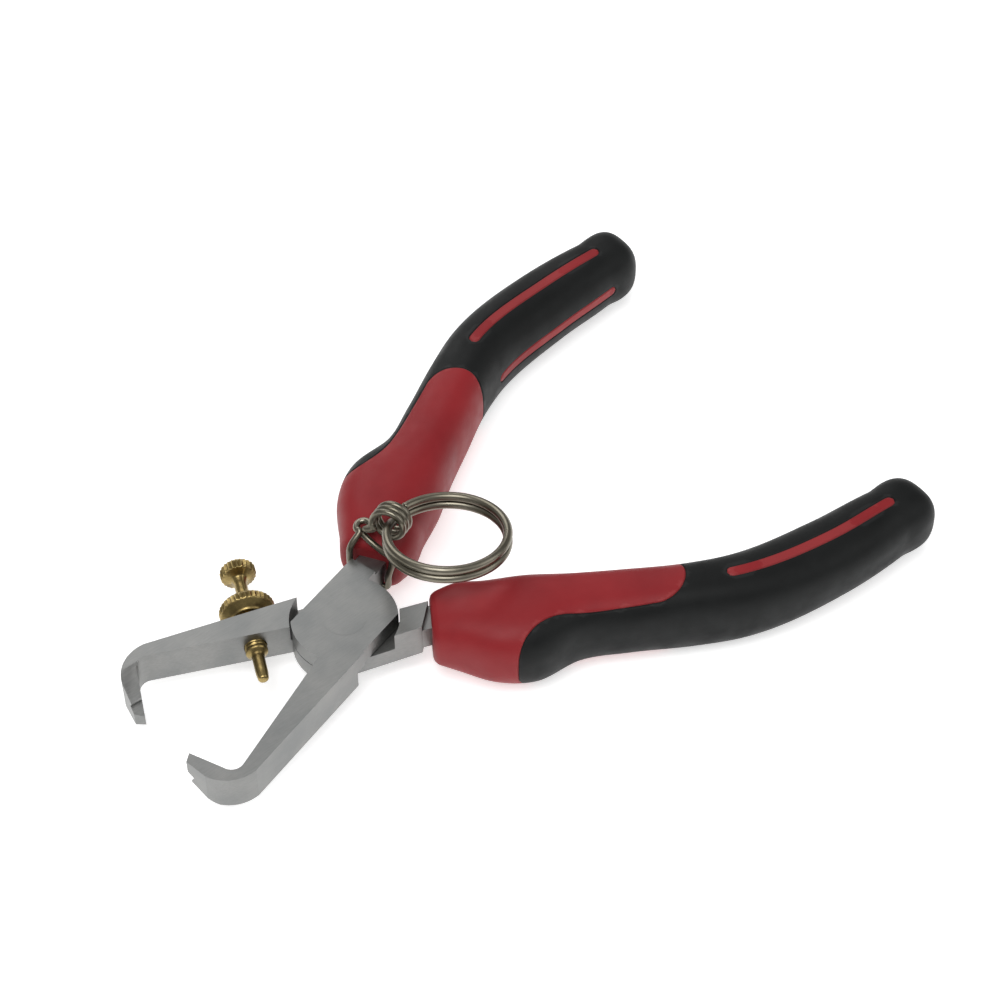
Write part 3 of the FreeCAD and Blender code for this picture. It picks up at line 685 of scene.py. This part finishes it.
def tube(name, points, radius):
    """Round wire through points (mm), with rounded free ends."""
    points = [Vector(p) for p in points]
    last = len(points) - 1
    tangents = [(points[min(k + 1, last)] - points[max(k - 1, 0)]).normalized()
                for k in range(last + 1)]
    normal = tangents[0].orthogonal().normalized()
    frames = []
    for k, point in enumerate(points):
        if k:
            normal = tangents[k - 1].rotation_difference(tangents[k]) @ normal
        frames.append((point, normal.copy(), tangents[k].cross(normal), radius))
    head, tail = [], []
    for share in (0.45, 0.8):
        ahead = radius * 0.3 * math.sin(math.acos(share))
        centre, u, v, _ = frames[0]
        head.append((centre - tangents[0] * ahead, u, v, radius * share))
        centre, u, v, _ = frames[-1]
        tail.insert(0, (centre + tangents[-1] * ahead, u, v, radius * share))
    bm = bmesh.new()
    rings = []
    for centre, u, v, reach in head + frames + tail:
        angles = [2 * math.pi * k / TUBE_SIDES for k in range(TUBE_SIDES)]
        rings.append([bm.verts.new(centre + (u * math.cos(angle) + v * math.sin(angle)) * reach)
                      for angle in angles])
    for first, second in zip(rings, rings[1:]):
        bridge(bm.faces.new, first, second)
    bm.faces.new(rings[0])
    bm.faces.new(rings[-1])
    bmesh.ops.recalc_face_normals(bm, faces=bm.faces[:])
    bmesh.ops.scale(bm, vec=(MM, MM, MM), verts=bm.verts)
    return to_mesh(bm, name)


COIL = Vector((17.52, 8.12, 15.5))
TETHER = Matrix.Translation(COIL) @ (
    Matrix.Rotation(math.radians(-62.7), 4, "Z") @ Matrix.Rotation(math.radians(-4.9), 4, "Y")
    @ Matrix.Rotation(math.radians(-11.0), 4, "X"))
WIRE_RADIUS = 0.65
COIL_RADIUS = 3.1
COIL_TURNS = 2.825
COIL_PITCH = 1.34
COIL_FROM = 153.0
EYE = Vector((14.1, 12.5, 12.4))
EYE_RADIUS = 1.35
EYE_RISE = 0.12
LOOP_CENTRE = Vector((12.28, 8.64, MID_HEIGHT))
LOOP_HEADING = math.radians(33.1)
SPLIT_RADIUS = 11.5
SPLIT_CENTRE = 11.9
SPLIT_WIRE = 0.9
SPLIT_TURNS = 2.0
SPLIT_HALF_PITCH = 0.93
SPLIT_END_GAP = 0.34
SPLIT_STEP_ANGLE = 0.9


def spline(points, steps):
    """Catmull-Rom curve through points."""
    out = []
    for k, (b, c) in enumerate(zip(points, points[1:])):
        a = points[k - 1] if k else b * 2 - c
        d = points[k + 2] if k + 2 < len(points) else c * 2 - b
        for j in range(steps):
            t = j / steps
            out.append(0.5 * (2 * b + (c - a) * t + (2 * a - 5 * b + 4 * c - d) * t * t
                              + (3 * b - a - 3 * c + d) * t**3))
    out.append(points[-1])
    return out


def neck_route():
    """One bent wire: a loop round the neck, a small eye, then the coil round the ring."""
    across = Vector((-math.sin(LOOP_HEADING), math.cos(LOOP_HEADING), 0))
    forward = Vector((math.cos(LOOP_HEADING), math.sin(LOOP_HEADING), 0))
    up = Vector((0, 0, 1))

    def neck(side, rise, ahead=0.0):
        return LOOP_CENTRE + across * side + up * rise + forward * ahead

    loop = [EYE + Vector((-0.75, -0.6, -0.9)), EYE + Vector((-0.5, -2.9, -1.4)),
            EYE + Vector((0.35, -5.3, -2.6)), neck(-4.2, 4.5, 1.15), neck(-4.35, 2.6, 0.9),
            neck(-3.85, 0.0, 0.2), neck(-3.6, -3.0, 0.1), neck(-2.6, -3.5), neck(0.0, -3.55),
            neck(2.6, -3.5), neck(3.6, -3.0, -0.05), neck(3.85, 0.0, -0.1),
            neck(3.9, 3.5, -0.1), neck(3.6, 6.3, 0.1)]
    eye = []
    for k in range(9):
        angle = math.radians(200 - 45 * k * 0.86)
        eye.append(EYE + Vector((EYE_RADIUS * math.cos(angle), EYE_RADIUS * math.sin(angle),
                                 -0.25 + EYE_RISE * k)))
    coil = []
    half = COIL_PITCH * COIL_TURNS / 2
    steps = 40
    for k in range(steps + 1):
        share = k / steps
        angle = math.radians(COIL_FROM + 360 * COIL_TURNS * share)
        place = Vector((COIL_RADIUS * math.cos(angle), -half + 2 * half * share,
                        -COIL_RADIUS * math.sin(angle)))
        coil.append(TETHER @ place)
    return loop + eye + coil


def split_ring_route():
    """Two flat turns, stepped inside the coil, where the ring's ends are hidden."""
    ring = []
    steps = 300
    for k in range(steps + 1):
        sweep = 2 * math.pi * SPLIT_TURNS - 2 * SPLIT_END_GAP
        turned = SPLIT_END_GAP + sweep * k / steps
        angle = math.pi + turned
        past_step = turned - 2 * math.pi + SPLIT_STEP_ANGLE / 2
        blend = min(1.0, max(0.0, past_step / SPLIT_STEP_ANGLE))
        blend = blend * blend * (3 - 2 * blend)
        place = Vector((SPLIT_CENTRE + SPLIT_RADIUS * math.cos(angle),
                        SPLIT_RADIUS * math.sin(angle), SPLIT_HALF_PITCH * (2 * blend - 1)))
        ring.append(TETHER @ place)
    return ring


def build_tether():
    """Split ring and the bent wire that holds it."""
    for name, route, radius, body, node in (
            ("split_ring_wire", split_ring_route(), SPLIT_WIRE, "ring", "split_ring"),
            ("neck_wire_bent", spline(neck_route(), 8), WIRE_RADIUS, "upper_side", "neck_wire")):
        mesh = tube(name, route, radius)
        smooth(mesh, WIRE_ANGLE)
        add_piece(name, mesh, body, WIRE, [node])


build_tether()


# --------------------------------------------------------------------- stage
FLOOR_REACH = 3.0
# Name, place, size and power of each area light, in metres and watts.
LIGHTS = (("key", (-0.25, -0.15, 0.75), 0.5, 3.4),
          ("fill", (0.5, -0.5, 0.5), 0.6, 1.2),
          ("back", (0.2, 0.6, 0.5), 0.5, 1.6))
LIGHT_AIM = Vector((0.03, 0, 0))
VIEW_AZIMUTH = math.radians(-39)
VIEW_ELEVATION = math.radians(49)
VIEW_TARGET = Vector((43.409, 6.998, MID_HEIGHT))
VIEW_DISTANCE = 514.85
LENS = 93.6
SENSOR = 36


def build_stage():
    """Pale floor under the object, white surroundings and three area lights."""
    floor_mesh = bpy.data.meshes.new("floor")
    low = CAD_BOUNDS[0][2]
    reach = FLOOR_REACH
    floor_mesh.from_pydata([(-reach, -reach, low), (reach, -reach, low), (reach, reach, low),
                            (-reach, reach, low)], [], [(0, 1, 2, 3)])
    floor = bpy.data.objects.new("floor", floor_mesh)
    bpy.context.scene.collection.objects.link(floor)
    nodes = Nodes("studio_floor")
    nodes.finish(Base_Color=(0.9, 0.9, 0.9, 1), Roughness=0.9,
                 Emission_Color=(1, 1, 1, 1), Emission_Strength=0.55)
    floor_mesh.materials.append(nodes.material)
    world = bpy.data.worlds.new("studio")
    bpy.context.scene.world = world
    world.use_nodes = True
    world.node_tree.nodes["Background"].inputs["Color"].default_value = (1, 1, 1, 1)
    world.node_tree.nodes["Background"].inputs["Strength"].default_value = 0.3
    for name, place, size, power in LIGHTS:
        light = bpy.data.lights.new(name, "AREA")
        light.size = size
        light.energy = power
        lamp = bpy.data.objects.new(name, light)
        bpy.context.scene.collection.objects.link(lamp)
        lamp.location = place
        aim = LIGHT_AIM - Vector(place)
        lamp.rotation_euler = aim.to_track_quat("-Z", "Y").to_euler()


def build_camera():
    """Camera of the reference view, looking along a fixed azimuth and elevation."""
    level = math.cos(VIEW_ELEVATION)
    back = Vector((math.sin(VIEW_AZIMUTH) * level, -math.cos(VIEW_AZIMUTH) * level,
                   math.sin(VIEW_ELEVATION)))
    camera = bpy.data.cameras.new("camera")
    camera.lens = LENS
    camera.sensor_width = SENSOR
    camera.clip_start = 0.01
    camera.clip_end = 20
    view = bpy.data.objects.new("camera", camera)
    bpy.context.scene.collection.objects.link(view)
    view.location = (VIEW_TARGET + back * VIEW_DISTANCE) * MM
    view.rotation_euler = (-back).to_track_quat("-Z", "Y").to_euler()
    bpy.context.scene.camera = view


build_stage()
build_camera()
bpy.context.scene.view_settings.view_transform = "Standard"
